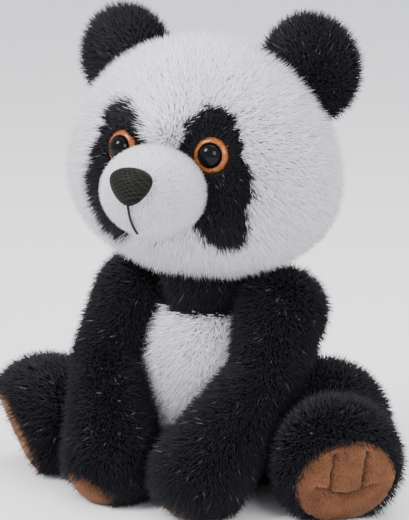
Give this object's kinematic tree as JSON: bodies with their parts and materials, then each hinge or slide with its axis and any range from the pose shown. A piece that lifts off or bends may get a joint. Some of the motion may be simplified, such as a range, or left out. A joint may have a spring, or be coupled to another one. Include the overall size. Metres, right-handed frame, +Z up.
{
  "type": "plush panda",
  "caption": "Seated soft toy bear with black limbs, ears and eye patches, white head and bib, brown sole pads and glossy ringed eyes.",
  "frame": {"origin": "centre of the torso's seat on the floor", "axes": "+Z up, -Y the way the panda faces, +X the panda's own left"},
  "size_m": [0.2416, 0.1402, 0.2583],
  "materials": {
    "white_fur": "matt long pile",
    "white_short_pile": "matt short pile",
    "black_fur": "matt long pile",
    "brown_plush": "matt short pile",
    "eye_black": "polished",
    "iris_orange": "glitter",
    "nose_dark": "satin with pale fibres",
    "washer_white": "moulded",
    "black_thread": "thread",
    "brown_thread": "thread",
    "stuffing": "fibre filling",
    "bag_cloth": "plain weave",
    "pellets": "pellets"
  },
  "bodies": {
    "torso": {"chest_yoke": "black_fur", "belly_side_panel": "black_fur", "belly_bib": "white_fur", "back_panel_left": "black_fur", "back_panel_right": "black_fur", "seat_panel": "black_fur", "back_closing_stitches": "black_thread", "torso_stuffing": "stuffing", "pellet_bag": "bag_cloth", "pellets": "pellets"},
    "neck": {"neck_stuffing": "stuffing"},
    "head": {"forehead_panel": "white_fur", "chin_panel": "white_fur", "cheek_panel_left": "white_fur", "cheek_panel_right": "white_fur", "head_back_panel": "white_fur", "head_stuffing": "stuffing", "muzzle_cover": "white_short_pile", "muzzle_stuffing": "stuffing", "nose": "nose_dark", "nose_washer": "washer_white", "mouth_stitch": "black_thread", "eye_patch_left": "black_fur", "eye_left": "eye_black", "iris_ring_left": "iris_orange", "eye_washer_left": "washer_white", "eye_patch_right": "black_fur", "eye_right": "eye_black", "iris_ring_right": "iris_orange", "eye_washer_right": "washer_white"},
    "ear_left": {"ear_front_left": "black_fur", "ear_back_left": "black_fur"},
    "arm_left": {"arm_cover_left": "black_fur", "arm_stuffing_left": "stuffing", "paw_pad_left": "brown_plush", "paw_stitch_left": "brown_thread"},
    "leg_left": {"leg_cover_left": "black_fur", "leg_stuffing_left": "stuffing", "sole_pad_left": "brown_plush", "toe_stitches_left": "brown_thread"},
    "ear_right": {"ear_front_right": "black_fur", "ear_back_right": "black_fur"},
    "arm_right": {"arm_cover_right": "black_fur", "arm_stuffing_right": "stuffing", "paw_pad_right": "brown_plush", "paw_stitch_right": "brown_thread"},
    "leg_right": {"leg_cover_right": "black_fur", "leg_stuffing_right": "stuffing", "sole_pad_right": "brown_plush", "toe_stitches_right": "brown_thread"}
  },
  "joints": [
    {"name": "neck_turn", "type": "hinge", "parent": "torso", "child": "neck", "pos_m": [0, 0.0035, 0.116], "axis": [0, 0, 1], "range_deg": [-30, 30]},
    {"name": "head_nod", "type": "hinge", "parent": "neck", "child": "head", "pos_m": [0, 0.0035, 0.116], "axis": [1, 0, 0], "range_deg": [-8, 10]},
    {"name": "shoulder_left", "type": "hinge", "parent": "torso", "child": "arm_left", "pos_m": [0.04459, 0, 0.1], "axis": [-1, 0, 0], "range_deg": [0, 60]},
    {"name": "hip_left", "type": "hinge", "parent": "torso", "child": "leg_left", "pos_m": [0.059, 0.022, 0.034], "axis": [0, 0, 1], "range_deg": [0, 25]},
    {"name": "ear_left", "type": "hinge", "parent": "head", "child": "ear_left", "pos_m": [0.04739, 0.008, 0.22008], "axis": [0.7193, 0, -0.6947], "range_deg": [-10, 10], "stiffness_Nm_per_rad": 0.02},
    {"name": "shoulder_right", "type": "hinge", "parent": "torso", "child": "arm_right", "pos_m": [-0.04459, 0, 0.1], "axis": [-1, 0, 0], "range_deg": [0, 60]},
    {"name": "hip_right", "type": "hinge", "parent": "torso", "child": "leg_right", "pos_m": [-0.059, 0.022, 0.034], "axis": [0, 0, -1], "range_deg": [0, 25]},
    {"name": "ear_right", "type": "hinge", "parent": "head", "child": "ear_right", "pos_m": [-0.04739, 0.008, 0.22008], "axis": [-0.7193, 0, -0.6947], "range_deg": [-10, 10], "stiffness_Nm_per_rad": 0.02}
  ]
}
